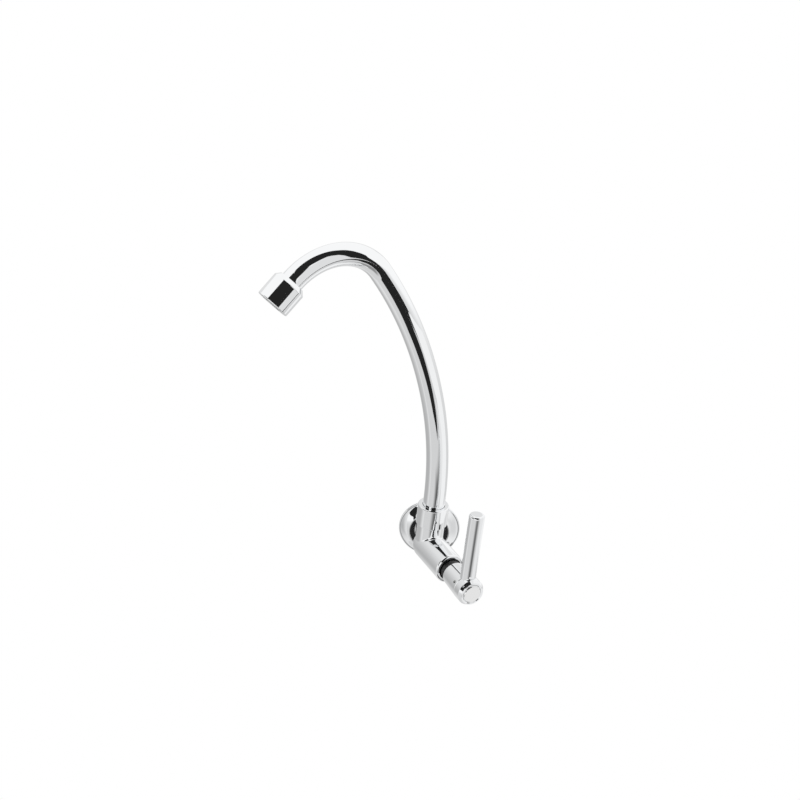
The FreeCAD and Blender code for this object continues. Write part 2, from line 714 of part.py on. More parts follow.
def make_handle_trim():
    """Fixing screw, grub screw, trim ring and the bare index cap."""
    screw = new_body("handle_screw", BARREL)
    spin(screw, "screw_turned", [
        ("0", "stem_end - 2 * screw_length"), ("screw_radius", "stem_end - 2 * screw_length"),
        ("screw_radius", "screw_seat"), ("screw_head_radius", "screw_seat"),
        ("screw_head_radius", "screw_seat + screw_head_height"),
        ("screw_socket_radius", "screw_seat + screw_head_height"),
        ("screw_socket_radius", "screw_seat + screw_socket_floor"),
        ("0", "screw_seat + screw_socket_floor / 2")])
    grub = new_body("grub_screw", GRUB)
    spin(grub, "grub_turned", [
        ("0", "stem_square / 2 + seat_gap"), ("grub_radius", "stem_square / 2 + seat_gap"),
        ("grub_radius", "grub_end"), ("grub_socket_radius", "grub_end"),
        ("grub_socket_radius", "grub_end - grub_socket_depth"),
        ("0", "grub_end - grub_socket_depth - seat_gap")])
    trim = ring("trim_ring", BARREL, "cap_seat_radius + running_fit", "trim_ring_radius",
                "hub_front", "hub_front + trim_ring_height")
    round_rim(trim, "trim_edge", "trim_ring_radius", "hub_front + trim_ring_height",
              "trim_ring_round")
    cap = new_body("index_cap", BARREL)
    cap_top = "hub_front + cap_height"
    spin(cap, "cap_turned", [
        ("0", "cap_seat"), ("cap_radius", "cap_seat"),
        ("cap_radius", cap_top + " - cap_dome", "-cap_ball"), ("0", cap_top)])
    round_rim(cap, "cap_edge", "cap_radius", cap_top + " - cap_dome", "cap_round")


def make_lever():
    """The round lever, saddled onto the hub and bored for its stud."""
    body = new_body("lever", LEVER)
    spin(body, "lever_turned", [
        ("0", "0"), ("lever_radius", "0"), ("lever_radius", "lever_top"), ("0", "lever_top")])
    solid(body, "SubtractiveCylinder", "lever_saddle",
          frame("0; -hub_length * 2; 0", "0; 0; -90"),
          Radius="hub_radius + running_fit", Height="hub_length * 4")
    solid(body, "SubtractiveCylinder", "stud_bore", frame("0; 0; 0", "0; 0; 0"),
          Radius="stud_radius + running_fit",
          Height="hub_radius + stud_in_lever + seat_gap")
    round_rim(body, "lever_tip", "lever_radius", "lever_top", "lever_round")
    stud = new_body("lever_stud", LEVER)
    bottom = "hub_radius - stud_in_hub + seat_gap"
    spin(stud, "stud_turned", [
        ("0", bottom), ("stud_radius", bottom), ("stud_radius", "hub_radius + stud_in_lever"),
        ("0", "hub_radius + stud_in_lever")])
    return body


def make_spout_tube():
    """The spout: one tube swept up the riser and round three arcs that meet smoothly."""
    body = new_body("spout_tube", SPOUT)
    section = new_sketch(body, "tube_section", "XY_Plane")
    for text in ("tube_radius", "tube_bore_radius"):
        index = section.addGeometry(Part.Circle(Vector(0, 0, 0), Vector(0, 0, 1), size(text)),
                                    False)
        section.addConstraint(Sketcher.Constraint("Coincident", index, 3, -1, 1))
        bound = section.addConstraint(Sketcher.Constraint("Radius", index, size(text)))
        section.setExpression("Constraints[%d]" % bound, rule(text))
    section.setExpression("AttachmentOffset.Base.z", rule("tube_start"))
    path = new_sketch(body, "tube_path", "XZ_Plane")
    draw_outline(path, [
        ("0", "tube_start"), ("0", "bend_start", "lower_bend"),
        ("lower_end_x", "lower_end_z", "upper_bend"),
        ("upper_end_x", "upper_end_z", "crown_bend"),
        ("crown_end_x", "crown_end_z"), ("tube_end_x", "tube_end_z")], closed=False)
    tube = body.newObject("PartDesign::AdditivePipe", "tube_bent")
    tube.Profile = section
    tube.Spine = path
    document.recompute()
    return body


def make_spigot():
    """The turned end inside the socket, its rings, snap ring and thrust washer."""
    ring("thrust_washer", COLUMN, "waterway_radius + seat_gap", "socket_radius - seat_gap",
         "socket_floor", "socket_floor + spigot_washer")
    body = new_body("spout_spigot", SPOUT)
    corners = [("spigot_bore_radius", "spigot_start"), ("spigot_radius", "spigot_start")]
    for groove, floor, width in (
            ("snap_groove", "spigot_radius - snap_depth", "snap_height"),
            ("lower_groove", "groove_floor_radius", "groove_width"),
            ("upper_groove", "groove_floor_radius", "groove_width")):
        start = "spigot_start + " + groove
        corners += [("spigot_radius", start), (floor, start), (floor, start + " + " + width),
                    ("spigot_radius", start + " + " + width)]
    nose = "tube_bore_radius - running_fit"
    corners += [("spigot_radius", "tube_start"), (nose, "tube_start"),
                (nose, "bend_start - nose_setback"),
                ("spigot_bore_radius", "bend_start - nose_setback")]
    spin(body, "spigot_turned", corners)
    section = "(spigot_radius - groove_floor_radius) / 2"
    for side in ("lower", "upper"):
        squeezed_ring("spout_ring_" + side, SPOUT, "groove_floor_radius + " + section, section,
                      "spigot_start + %s_groove + groove_width / 2" % side)
    snap = new_body("snap_ring", SPOUT)
    inside = "spigot_radius - snap_depth + 2 * running_fit"
    outside = "socket_radius + snap_depth - seat_gap"
    bottom = "spigot_start + snap_groove + 2 * running_fit"
    top = "spigot_start + snap_groove + snap_height - 2 * running_fit"
    spin(snap, "snap_turned", [
        (inside, bottom), (outside, bottom), (outside, top), (inside, top)],
        angle=SNAP_RING_TURN)


def make_outlet():
    """The threaded end on the tube and the coned housing that screws onto it."""
    adapter = new_body("outlet_adapter", OUTLET)
    spin(adapter, "adapter_turned", [
        ("tube_radius + running_fit", "adapter_start"), ("adapter_radius", "adapter_start"),
        ("adapter_radius", "adapter_end"), ("tube_bore_radius", "adapter_end"),
        ("tube_bore_radius", "tube_end + running_fit"),
        ("tube_radius + running_fit", "tube_end + running_fit")])
    housing = new_body("outlet_housing", OUTLET)
    tube_hole = "tube_radius + seat_gap"
    spin(housing, "housing_turned", [
        (tube_hole, "0"), ("housing_collar_radius", "0"), ("housing_radius", "housing_cone"),
        ("housing_radius", "outlet_straight"), ("outlet_lip_radius", "outlet_straight"),
        ("outlet_lip_radius", "outlet_lip_start"), ("insert_bore_radius", "outlet_lip_start"),
        ("insert_bore_radius", "adapter_end"), ("adapter_radius + running_fit", "adapter_end"),
        ("adapter_radius + running_fit", "adapter_start"), (tube_hole, "adapter_start")])
    round_rim(housing, "mouth_edge", "housing_radius", "outlet_straight", "housing_round")
    round_rim(housing, "cone_edge", "housing_radius", "housing_cone", "housing_round")


def make_aerator():
    """The aerator: sealing ring, drilled plastic insert and steel screen."""
    ring("sealing_ring", OUTLET, "tube_bore_radius", "insert_radius - 2 * running_fit",
         "adapter_end + running_fit", "insert_start")
    insert = new_body("aerator_insert", OUTLET)
    wall = "insert_radius - insert_wall"
    plate = "insert_start + insert_floor"
    spin(insert, "insert_turned", [
        ("0", "insert_start"), ("insert_radius", "insert_start"),
        ("insert_radius", "outlet_lip_start"), (wall, "outlet_lip_start"), (wall, plate),
        ("0", plate)])
    hole = solid(insert, "SubtractiveCylinder", "insert_hole",
                 frame("insert_radius - insert_hole_inset; 0; insert_start - overcut", "0; 0; 0"),
                 Radius="insert_hole_radius", Height="insert_floor + 2 * overcut")
    pattern = insert.newObject("PartDesign::PolarPattern", "insert_hole_circle_pattern")
    pattern.Originals = [hole]
    axis = next(a for a in insert.Origin.OriginFeatures if a.Role == "Z_Axis")
    pattern.Axis = (axis, [""])
    pattern.Angle = 360
    pattern.setExpression("Occurrences", rule("insert_holes"))
    insert.Tip = pattern
    document.recompute()
    screen = new_body("aerator_screen", OUTLET)
    screen_top = "outlet_lip_start - seat_gap"
    spin(screen, "screen_turned", [
        ("0", screen_top + " - screen_thickness"),
        (wall + " - running_fit", screen_top + " - screen_thickness"),
        (wall + " - running_fit", screen_top), ("0", screen_top)])


def check_and_write():
    """Stop on any failed feature or bad solid, then write one file for each sub-part."""
    document.recompute()
    for item in document.Objects:
        if "Invalid" in item.State or "Error" in item.State:
            raise RuntimeError("%s failed: %s" % (item.Label, item.State))
    for item in document.Objects:
        if not item.isDerivedFrom("PartDesign::Body"):
            continue
        shape = item.Shape
        if shape.isNull() or not shape.isValid() or len(shape.Solids) != 1:
            raise RuntimeError("%s has no single valid solid" % item.Label)
        shape.exportStep("parts/%s.step" % item.Label)
        box = shape.BoundBox
        print("%-18s %9.1f mm3  %6.1f x %6.1f x %6.1f" % (
            item.Label, shape.Volume, box.XLength, box.YLength, box.ZLength))


fill_sheet()
make_tap_body()
make_wall_flange()
make_headwork_body()
make_discs()
make_spindle()
make_headwork_trim()
make_handle_hub()
make_handle_trim()
make_lever()
make_spout_tube()
make_spigot()
make_outlet()
make_aerator()
check_and_write()
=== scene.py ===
# %% [markdown]
# # A chromed kitchen tap on the wall
# The tap is cast and turned brass under a mirror of chrome. Chrome has no colour of its own, so
# what the eye reads is the shape of each reflection. That is why every visible surface is worked
# out here as a smooth grid, and why the dark cards round the tap matter as much as the metal. The
# pieces inside the tap come from the frame as they are and only get their finishes.

# %% Load the frame
import bmesh
import bpy
import json
import math
import numpy as np
from mathutils import Matrix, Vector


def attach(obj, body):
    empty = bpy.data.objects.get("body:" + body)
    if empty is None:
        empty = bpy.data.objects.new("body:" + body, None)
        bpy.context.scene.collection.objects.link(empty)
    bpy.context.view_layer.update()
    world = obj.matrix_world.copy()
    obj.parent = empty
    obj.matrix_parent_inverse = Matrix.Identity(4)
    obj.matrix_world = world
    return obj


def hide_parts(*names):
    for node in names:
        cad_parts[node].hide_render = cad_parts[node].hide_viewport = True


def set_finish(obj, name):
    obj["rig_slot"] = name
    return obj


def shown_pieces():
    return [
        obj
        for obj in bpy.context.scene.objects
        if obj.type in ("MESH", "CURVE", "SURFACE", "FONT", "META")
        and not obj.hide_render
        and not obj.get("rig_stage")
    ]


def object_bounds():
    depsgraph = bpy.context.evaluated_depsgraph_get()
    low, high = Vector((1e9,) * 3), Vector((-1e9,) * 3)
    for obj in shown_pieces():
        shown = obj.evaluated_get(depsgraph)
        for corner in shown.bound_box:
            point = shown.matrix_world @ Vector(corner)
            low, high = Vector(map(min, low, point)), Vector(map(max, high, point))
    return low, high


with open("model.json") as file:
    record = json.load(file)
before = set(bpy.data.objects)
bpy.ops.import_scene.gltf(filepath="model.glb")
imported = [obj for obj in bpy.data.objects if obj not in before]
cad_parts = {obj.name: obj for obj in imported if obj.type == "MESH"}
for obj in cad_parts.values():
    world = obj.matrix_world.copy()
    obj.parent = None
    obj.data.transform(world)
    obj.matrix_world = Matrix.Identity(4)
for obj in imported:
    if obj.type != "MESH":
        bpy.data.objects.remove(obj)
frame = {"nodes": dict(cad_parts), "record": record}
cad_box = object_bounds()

print("nodes in the frame:", len(frame["nodes"]))

# %% [markdown]
# ## Units and directions
# Sizes are in millimetres and turned to metres when a mesh is written. Each turned piece lives on
# its own axis, so a small frame holds an origin and three directions. The wall and the barrel get
# theirs here, and the locking screw and the spout's outlet further down.

# %% Units and directions
MM = 0.001
UP = np.array([0.0, 0.0, 1.0])
COLUMN_OFFSET = 30.0
BARREL_TURN = math.radians(29)
SPOUT_TURN = math.radians(53)
COLUMN_FOOT = np.array([0.0, -COLUMN_OFFSET, 0.0])
BARREL_OUT = np.array([math.sin(BARREL_TURN), -math.cos(BARREL_TURN), 0.0])
BARREL_SIDE = np.array([math.cos(BARREL_TURN), math.sin(BARREL_TURN), 0.0])
SPOUT_OUT = np.array([-math.sin(SPOUT_TURN), -math.cos(SPOUT_TURN), 0.0])


def axes(origin, along, side):
    """A frame as (origin, side, across, along), where across is along x side."""
    along = np.asarray(along, float)
    side = np.asarray(side, float)
    return np.asarray(origin, float), side, np.cross(along, side), along


WALL = axes((0, 0, 0), (0, -1, 0), (1, 0, 0))
BARREL = axes(COLUMN_FOOT, BARREL_OUT, BARREL_SIDE)
print("barrel points to", BARREL_OUT.round(3))

# %% [markdown]
# ## From arrays to meshes
# A mesh could be modelled by hand or built face by face. Here a grid of points becomes a mesh
# with one array of faces and no loop over the vertices, which is quick and keeps every row where
# the formula puts it. Rows that shrink to a point are merged, and the faces are turned outwards,
# because a mirror finish shows any face that points the wrong way. Edges sharper than 28 degrees
# stay crisp.

# %% From arrays to meshes
SHARP_ANGLE = math.radians(28)
MERGE_DISTANCE = 2e-7


def grid_faces(rows, columns, close_rows):
    """Four-sided faces between neighbouring rows and columns, the columns joined in a ring."""
    last_row = rows if close_rows else rows - 1
    i, j = np.meshgrid(np.arange(last_row), np.arange(columns), indexing="ij")
    down, right = (i + 1) % rows, (j + 1) % columns
    corners = (i * columns + j, i * columns + right, down * columns + right, down * columns + j)
    return np.stack(corners, -1).reshape(-1, 4)


def shade(piece):
    """Smooth shading with crisp edges."""
    piece.data.shade_smooth()
    piece.data.set_sharp_from_angle(angle=SHARP_ANGLE)


def write_mesh(name, grids):
    """Write one or more (points, close_rows) grids in millimetres as one smooth mesh."""
    points, faces, start = [], [], 0
    for grid, close_rows in grids:
        rows, columns = grid.shape[:2]
        points.append(grid.reshape(-1, 3) * MM)
        faces.append(grid_faces(rows, columns, close_rows) + start)
        start += rows * columns
    mesh = bpy.data.meshes.new(name)
    mesh.from_pydata(np.concatenate(points), [], np.concatenate(faces))
    edit = bmesh.new()
    edit.from_mesh(mesh)
    bmesh.ops.remove_doubles(edit, verts=edit.verts, dist=MERGE_DISTANCE)
    bmesh.ops.dissolve_degenerate(edit, edges=edit.edges, dist=MERGE_DISTANCE)
    bmesh.ops.recalc_face_normals(edit, faces=edit.faces)
    edit.to_mesh(mesh)
    edit.free()
    piece = bpy.data.objects.new(name, mesh)
    bpy.context.scene.collection.objects.link(piece)
    shade(piece)
    return piece


def stand_for(piece, body, node, slot):
    """Let the piece ride on its body in place of one CAD node."""
    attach(piece, body)
    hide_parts(node)
    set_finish(piece, slot)
    print(piece.name, "rides on", body, "with", len(piece.data.polygons), "faces")
    return piece


# %% [markdown]
# ## Turned pieces
# Most of a tap comes off a lathe. The Screw and Bevel modifiers could turn an outline and round
# its edges, but then the rows lie where the modifiers leave them. Here a piece is an outline of
# corners, each with the radius that the tool left on it, and the outline is carried round the
# axis. Each rounded corner gets a narrow extra ring on both sides, so that the flat next to it
# stays flat in the reflection.

# %% Turned pieces
AROUND = 224
CORNER_STEPS = 9
GUARD = 0.04


def rounded_outline(corners, closed):
    """The outline through (radius, station, rounding) corners.

    A rounding t cuts each side of the corner back by t / tan(half the corner's angle), and the
    arc between runs about the point that is t from both sides."""
    count = len(corners)
    rows = []
    for k, corner in enumerate(corners):
        here = np.array(corner[:2], float)
        rounding = corner[2] if len(corner) == 3 else 0
        if not rounding or (not closed and k in (0, count - 1)):
            rows.append(here[None])
            continue
        before = np.array(corners[(k - 1) % count][:2], float) - here
        after = np.array(corners[(k + 1) % count][:2], float) - here
        before /= np.linalg.norm(before)
        after /= np.linalg.norm(after)
        half = math.acos(np.clip(before @ after, -1, 1)) / 2
        back = rounding / math.tan(half)
        middle = (before + after) / np.linalg.norm(before + after)
        centre = here + middle * rounding / math.sin(half)
        start, end = here + before * back - centre, here + after * back - centre
        span = math.acos(np.clip(start @ end / rounding**2, -1, 1))
        share = np.linspace(0, 1, CORNER_STEPS)[:, None]
        arc = (np.sin((1 - share) * span) * start + np.sin(share * span) * end) / math.sin(span)
        guards = here + before * (back + GUARD), here + after * (back + GUARD)
        rows.append(np.concatenate([guards[0][None], centre + arc, guards[1][None]]))
    return np.concatenate(rows)


def turned_grid(outline, place):
    """origin + radius * (cos a * side + sin a * across) + station * along, for a full turn."""
    origin, side, across, along = place
    a = np.linspace(0, 2 * math.pi, AROUND, endpoint=False)[None, :, None]
    ring = np.cos(a) * side + np.sin(a) * across
    return origin + outline[:, 0, None, None] * ring + outline[:, 1, None, None] * along


def turned(name, corners, place, closed=True):
    """One turned piece from its corners."""
    outline = rounded_outline(corners, closed)
    return write_mesh(name, [(turned_grid(outline, place), closed)])


print("a turned piece has", AROUND, "steps round and", CORNER_STEPS, "in each rounded corner")

# %% [markdown]
# ## The cast body: barrel
# The body is one brass casting, ground and polished before plating. Its barrel is a tube with a
# round back, which is a quarter of a circle carried round the axis. The front has a rounded rim
# and a recess, in which the black ring sits. A cylinder with a hole cut into it would leave long
# thin faces at the rim, so the whole outline is turned at once.

# %% The cast body: barrel
BARREL_RADIUS = 13.7
BARREL_BACK_STEPS = 40
BARREL_SIDE_START = 0.5
BARREL_END = 43.0
BARREL_RIM = 1.8
RECESS_RADIUS = 10.4
RECESS_RIM = 0.25
CHAMBER_MOUTH = 36.0


def barrel_grid():
    """The back is radius * (cos a, sin a). The side, the rim and the recess follow it."""
    a = np.linspace(-math.pi / 2, 0, BARREL_BACK_STEPS)
    back = np.stack([BARREL_RADIUS * np.cos(a), BARREL_RADIUS * np.sin(a)], -1)
    back[0, 0] = 0
    front = rounded_outline([
        (BARREL_RADIUS, BARREL_SIDE_START), (BARREL_RADIUS, BARREL_END, BARREL_RIM),
        (RECESS_RADIUS, BARREL_END, RECESS_RIM), (RECESS_RADIUS, CHAMBER_MOUTH),
        (0, CHAMBER_MOUTH)], False)
    return turned_grid(np.concatenate([back, front]), BARREL)


print("barrel %.1f mm across, front at %.0f mm" % (2 * BARREL_RADIUS, BARREL_END))

# %% [markdown]
# ## The cast body: column
# The column stands on the barrel, and polishing has rounded the line where they meet. A Boolean
# and a Bevel modifier could join them, but the chrome would show every kink in that seam. So the
# saddle is the trace of a ball of 2.5 mm that rolls along the meeting line. The ball's path is
# known exactly: its centre is always one ball radius away from both surfaces. The column's grid
# starts on the barrel, climbs the ball's arc and goes on up the column, out to the wider cup that
# holds the spout, over its rounded rim and down into the socket.

# %% The cast body: column
COLUMN_RADIUS = 12.2
COLUMN_START = 18.0
COLUMN_TOP = 41.8
CUP_START = 22.0
CUP_START_ROUNDING = 0.5
CUP_TAPER = 1.2
CUP_TAPER_ROUNDING = 0.4
CUP_RADIUS = 13.9
CUP_RIM = 1.0
SOCKET_RADIUS = 10.0
SOCKET_RIM = 0.15
SOCKET_FLOOR = 16.0
SADDLE = 2.5
SADDLE_STEPS = 14
SUNK = 0.3


def column_grid():
    """The column with the rolled ball's saddle at its foot.

    The ball's centre is column radius + ball radius from the column's axis, and its height is
    sqrt((barrel radius + ball radius) squared - sideways squared). The arc blends the ways to
    both surfaces by sin((1 - t) angle) and sin(t angle), over sin(angle)."""
    a = np.linspace(0, 2 * math.pi, AROUND, endpoint=False)
    out = np.cos(a)[:, None] * BARREL_OUT + np.sin(a)[:, None] * BARREL_SIDE
    ball = COLUMN_RADIUS + SADDLE
    forward = np.cos(a) >= 0
    sideways = np.where(forward, ball * np.sin(a), ball)
    height = np.sqrt((BARREL_RADIUS + SADDLE) ** 2 - sideways**2)
    centre = ball * out + height[:, None] * UP
    axis_foot = np.where(forward, ball * np.cos(a), 0)[:, None] * BARREL_OUT
    to_barrel = axis_foot - centre
    to_barrel /= np.linalg.norm(to_barrel, axis=1)[:, None]
    angle = np.arccos(np.clip(-(to_barrel * out).sum(1), -1, 1))[:, None]
    share = np.linspace(0, 1, SADDLE_STEPS)[:, None, None]
    arc = (np.sin((1 - share) * angle) * to_barrel - np.sin(share * angle) * out) / np.sin(angle)
    saddle = centre + SADDLE * arc
    inside = saddle[0] + SUNK * to_barrel
    rim = rounded_outline([
        (COLUMN_RADIUS, COLUMN_START), (COLUMN_RADIUS, CUP_START, CUP_START_ROUNDING),
        (CUP_RADIUS, CUP_START + CUP_TAPER, CUP_TAPER_ROUNDING),
        (CUP_RADIUS, COLUMN_TOP, CUP_RIM), (SOCKET_RADIUS, COLUMN_TOP, SOCKET_RIM),
        (SOCKET_RADIUS, SOCKET_FLOOR), (0, SOCKET_FLOOR)], False)
    upper = rim[:, 0, None, None] * out + rim[:, 1, None, None] * UP
    foot = np.zeros((1, AROUND, 3))
    return COLUMN_FOOT + np.concatenate([foot, inside[None], saddle, upper])


print("cup %.1f mm across, top at %.1f mm" % (2 * CUP_RADIUS, COLUMN_TOP))

# %% [markdown]
# ## The cast body: neck and inlet
# The neck passes through the flange and ends in a half-inch pipe thread, which goes into the
# wall. A groove could be wound with the Screw modifier and cut out. One grid is lighter: every
# point knows how many turns it is along the screw, and that number decides how deep the cut is.
# The cut fades out at both ends, as a real thread does.

# %% The cast body: neck and inlet
NECK_RADIUS = 12.0
NECK_END = 24.0
# The neck is painted dark as shade from the shoulder in to this depth.
NECK_SHADED = 16.0
SHOULDER = 2.0
INLET_LENGTH = 20.0
INLET_CHAMFER = 1.2
INLET_BORE = 5.0
INLET_BORE_END = 20.0
THREAD_CREST = 10.47
THREAD_PITCH = 1.814
THREAD_DEPTH = 1.1
THREAD_FLANK = 1.3
THREAD_FLAT = 0.15
THREAD_FADE = 1.6
THREAD_ROWS = 150


def thread_grid():
    """The neck, the thread and the bore, from the front to the back and in again.

    Along the thread the radius falls and rises once per pitch, and shifts by one pitch for each
    turn, so the crest runs round as a screw."""
    _, side, across, outward = WALL
    inward = -outward
    length = INLET_LENGTH - INLET_CHAMFER
    a = np.linspace(0, 2 * math.pi, AROUND, endpoint=False)
    s = np.linspace(0, length, THREAD_ROWS)
    turns = s[:, None] / THREAD_PITCH - a / (2 * math.pi)
    wave = np.abs((turns % 1) * 2 - 1)
    cut = np.clip(wave * THREAD_FLANK - THREAD_FLAT, 0, 1) * THREAD_DEPTH
    fade = np.clip(np.minimum(s / THREAD_FADE, (length - s) / THREAD_FADE), 0, 1)[:, None]
    radius = THREAD_CREST - cut * fade
    ring = np.cos(a)[:, None] * side + np.sin(a)[:, None] * across
    thread = radius[..., None] * ring + (s - SHOULDER)[:, None, None] * inward
    end = INLET_LENGTH - SHOULDER
    tail = rounded_outline([
        (THREAD_CREST, length - SHOULDER), (THREAD_CREST - INLET_CHAMFER, end),
        (INLET_BORE, end), (INLET_BORE, -INLET_BORE_END), (0, -INLET_BORE_END)], False)
    neck = rounded_outline([
        (0, -NECK_END), (NECK_RADIUS, -NECK_END), (NECK_RADIUS, -NECK_SHADED),
        (NECK_RADIUS, -SHOULDER)], False)
    before, after = (
        part[:, 0, None, None] * ring + part[:, 1, None, None] * inward for part in (neck, tail))
    return np.concatenate([before, thread, after])


tap_body = write_mesh("cast_body", [
    (barrel_grid(), False), (column_grid(), False), (thread_grid(), False)])
stand_for(tap_body, "body", "tap_body", "chromed_casting")

# %% [markdown]
# ## The wall flange
# The cover plate is spun or pressed from thin brass sheet: a flat rim on the wall, a crowned face,
# a rolled crest and a dish that dips to the neck. A bevelled disc would look nearly the same in
# plaster, but in chrome only true arcs give calm reflections, so the crown is an arc of 16 mm
# radius. The dish shows the two black crescents beside the column.

# %% The wall flange
FLANGE_RADIUS = 27.5
FLANGE_RIM = 1.8
RIM_STEP = 1.6
RIM_ROUNDING = 0.7
CROWN_ARC = 16.0
CROWN_TOP = 8.0
CREST_RADIUS = 18.2
CREST_ROUNDING = 0.8
DISH_RADIUS = 17.4
DISH_ROUNDING = 0.3
DISH_FOOT = 13.3
DISH_LEVEL = 5.0
HOLE_RADIUS = 12.3
SHEET = 1.0
UNDER_DISH = (13.55, 17.65)
UNDER_CROWN = (17.95, 25.65)


def bowed(start, end, radius, steps=18):
    """Points on the arc from start to end that bulges to the right of the way by its radius."""
    start, end = np.array(start, float), np.array(end, float)
    chord = end - start
    length = np.linalg.norm(chord)
    right = np.array([chord[1], -chord[0]]) / length
    centre = (start + end) / 2 - right * math.sqrt(radius**2 - (length / 2) ** 2)
    first, last = start - centre, end - centre
    span = math.acos(first @ last / radius**2)
    share = np.linspace(0, 1, steps)[:, None]
    return centre + (np.sin((1 - share) * span) * first + np.sin(share * span) * last) / math.sin(span)


def flange_outline():
    """Outer face from rim to hole, then back along the hidden face, one sheet below it."""
    foot = (FLANGE_RADIUS - RIM_STEP, FLANGE_RIM)
    under_top, under_rim = CROWN_TOP - SHEET, FLANGE_RIM - SHEET
    crown = bowed(foot, (CREST_RADIUS, CROWN_TOP), CROWN_ARC)
    rim = rounded_outline([
        (FLANGE_RADIUS, 0), (FLANGE_RADIUS, FLANGE_RIM, RIM_ROUNDING), foot], False)
    crest = rounded_outline([
        tuple(crown[-2]), (CREST_RADIUS, CROWN_TOP, CREST_ROUNDING),
        (DISH_RADIUS, CROWN_TOP, DISH_ROUNDING), (DISH_FOOT, DISH_LEVEL),
        (HOLE_RADIUS, DISH_LEVEL), (HOLE_RADIUS, DISH_LEVEL - SHEET)], False)[1:]
    under_dish = [
        (UNDER_DISH[0], DISH_LEVEL - SHEET), (UNDER_DISH[1], under_top),
        (UNDER_CROWN[0], under_top)]
    under_crown = bowed((UNDER_CROWN[1], under_rim), (UNDER_CROWN[0], under_top), CROWN_ARC)[::-1]
    inner_rim = [(FLANGE_RADIUS - SHEET, under_rim), (FLANGE_RADIUS - SHEET, 0)]
    return np.concatenate([rim, crown[1:-1], crest, under_dish, under_crown[1:], inner_rim])


flange = write_mesh("spun_flange", [(turned_grid(flange_outline(), WALL), True)])
stand_for(flange, "body", "wall_flange", "chromed_pressing")

# %% [markdown]
# ## The black ring and the handle's hub
# Between barrel and handle a turned ring of black acetal shows as a dark crescent. The hub flares
# from 22 to 24.6 mm, has one fine turned line, and tapers at the front into the trim ring. The
# line could be drawn in the material, but as a real groove it catches the light from every side.

# %% The black ring and the hub
GAP_RING_HOLE = 6.55
GAP_RING_RADIUS = 9.6
GAP_RING_START = 41.0
GAP_RING_END = 49.7
HANDLE_START = 50.0
HUB_REAR = 11.0
HUB_RADIUS = 12.3
HUB_LINE = 73.7
HUB_LINE_CUT = 0.3
HUB_SHOULDER = 81.4
SHOULDER_RADIUS = 11.4
HUB_FRONT = 83.0
HUB_SLEEVE = 9.2
HUB_WEB = (56.0, 81.0)
SCREW_HOLE = 2.0
CAP_SEAT = 8.4

gap_ring = turned("acetal_ring", [
    (GAP_RING_HOLE, GAP_RING_START), (GAP_RING_RADIUS, GAP_RING_START),
    (GAP_RING_RADIUS, GAP_RING_END, 0.3), (GAP_RING_HOLE, GAP_RING_END)], BARREL)
stand_for(gap_ring, "body", "gap_ring", "black_acetal")

hub = turned("flared_hub", [
    (HUB_SLEEVE, HUB_WEB[0]), (HUB_SLEEVE, HANDLE_START), (HUB_REAR, HANDLE_START, 0.6),
    (HUB_RADIUS, HUB_LINE - HUB_LINE_CUT), (HUB_RADIUS - HUB_LINE_CUT, HUB_LINE),
    (HUB_RADIUS, HUB_LINE + HUB_LINE_CUT), (HUB_RADIUS, HUB_SHOULDER, 0.8),
    (SHOULDER_RADIUS, HUB_FRONT), (CAP_SEAT, HUB_FRONT), (CAP_SEAT, HUB_WEB[1]),
    (SCREW_HOLE, HUB_WEB[1]), (SCREW_HOLE, HUB_WEB[0])], BARREL)
stand_for(hub, "handle", "handle_hub", "chromed_casting")

# %% [markdown]
# ## The locking screw's hole
# A small locking screw sits in a drilled hole in the hub's left side. A cross hole doesn't fit
# the rings of a turned grid, so here a Boolean is the right tool: the hole is cut out of the
# finished hub with a plain cylinder, and the result is kept as the hub's own mesh.

# %% The locking screw's hole
GRUB_STATION = 70.0
GRUB_RADIUS = 1.45
GRUB_HOLE = (3.0, 14.0)
GRUB_ANGLE = math.radians(62)
grub_out = math.cos(GRUB_ANGLE) * UP - math.sin(GRUB_ANGLE) * BARREL_SIDE
GRUB = axes(COLUMN_FOOT + GRUB_STATION * BARREL_OUT, grub_out, BARREL_OUT)


def drill(piece, radius, start, end, place):
    """Cut a round hole into a piece with a plain drill."""
    bit = turned("drill", [(0, start), (radius, start), (radius, end), (0, end)], place, False)
    cut = piece.modifiers.new("hole", "BOOLEAN")
    cut.operation, cut.object, cut.solver = "DIFFERENCE", bit, "EXACT"
    bpy.context.view_layer.update()
    drilled = piece.evaluated_get(bpy.context.evaluated_depsgraph_get())
    whole = piece.data
    piece.data = bpy.data.meshes.new_from_object(drilled)
    piece.modifiers.clear()
    bpy.data.meshes.remove(whole)
    bpy.data.objects.remove(bit)
    shade(piece)


drill(hub, GRUB_RADIUS, *GRUB_HOLE, GRUB)
print("hub after drilling:", len(hub.data.polygons), "faces")

# %% [markdown]
# ## Trim ring and cap
# The front carries a raised ring that goes on with the hub's taper, and a cap whose bevel stands
# a little above it. A flat cap would mirror one single tone, so it is slightly domed, as pressed
# caps are. On the real tap the cap may carry a mark, and here it is left bare.

# %% Trim ring and cap
TRIM_HOLE = 8.55
CAP_RADIUS = 8.35
CAP_BACK = 81.0
CAP_SIDE = 83.9
CAP_BEVEL = (7.65, 85.15)
CAP_TOP = HUB_FRONT + 2.4
CAP_DOME = 0.25
CAP_FACE_STEPS = 14
CAP_ROUNDING = 0.2

trim = turned("trim_ring_turned", [
    (TRIM_HOLE, HUB_FRONT), (SHOULDER_RADIUS, HUB_FRONT), (10.5, 84.7, 0.7), (9.6, 84.85, 0.8),
    (8.9, 84.4, 0.3), (TRIM_HOLE, CAP_SIDE)], BARREL)
stand_for(trim, "handle", "trim_ring", "chromed_pressing")


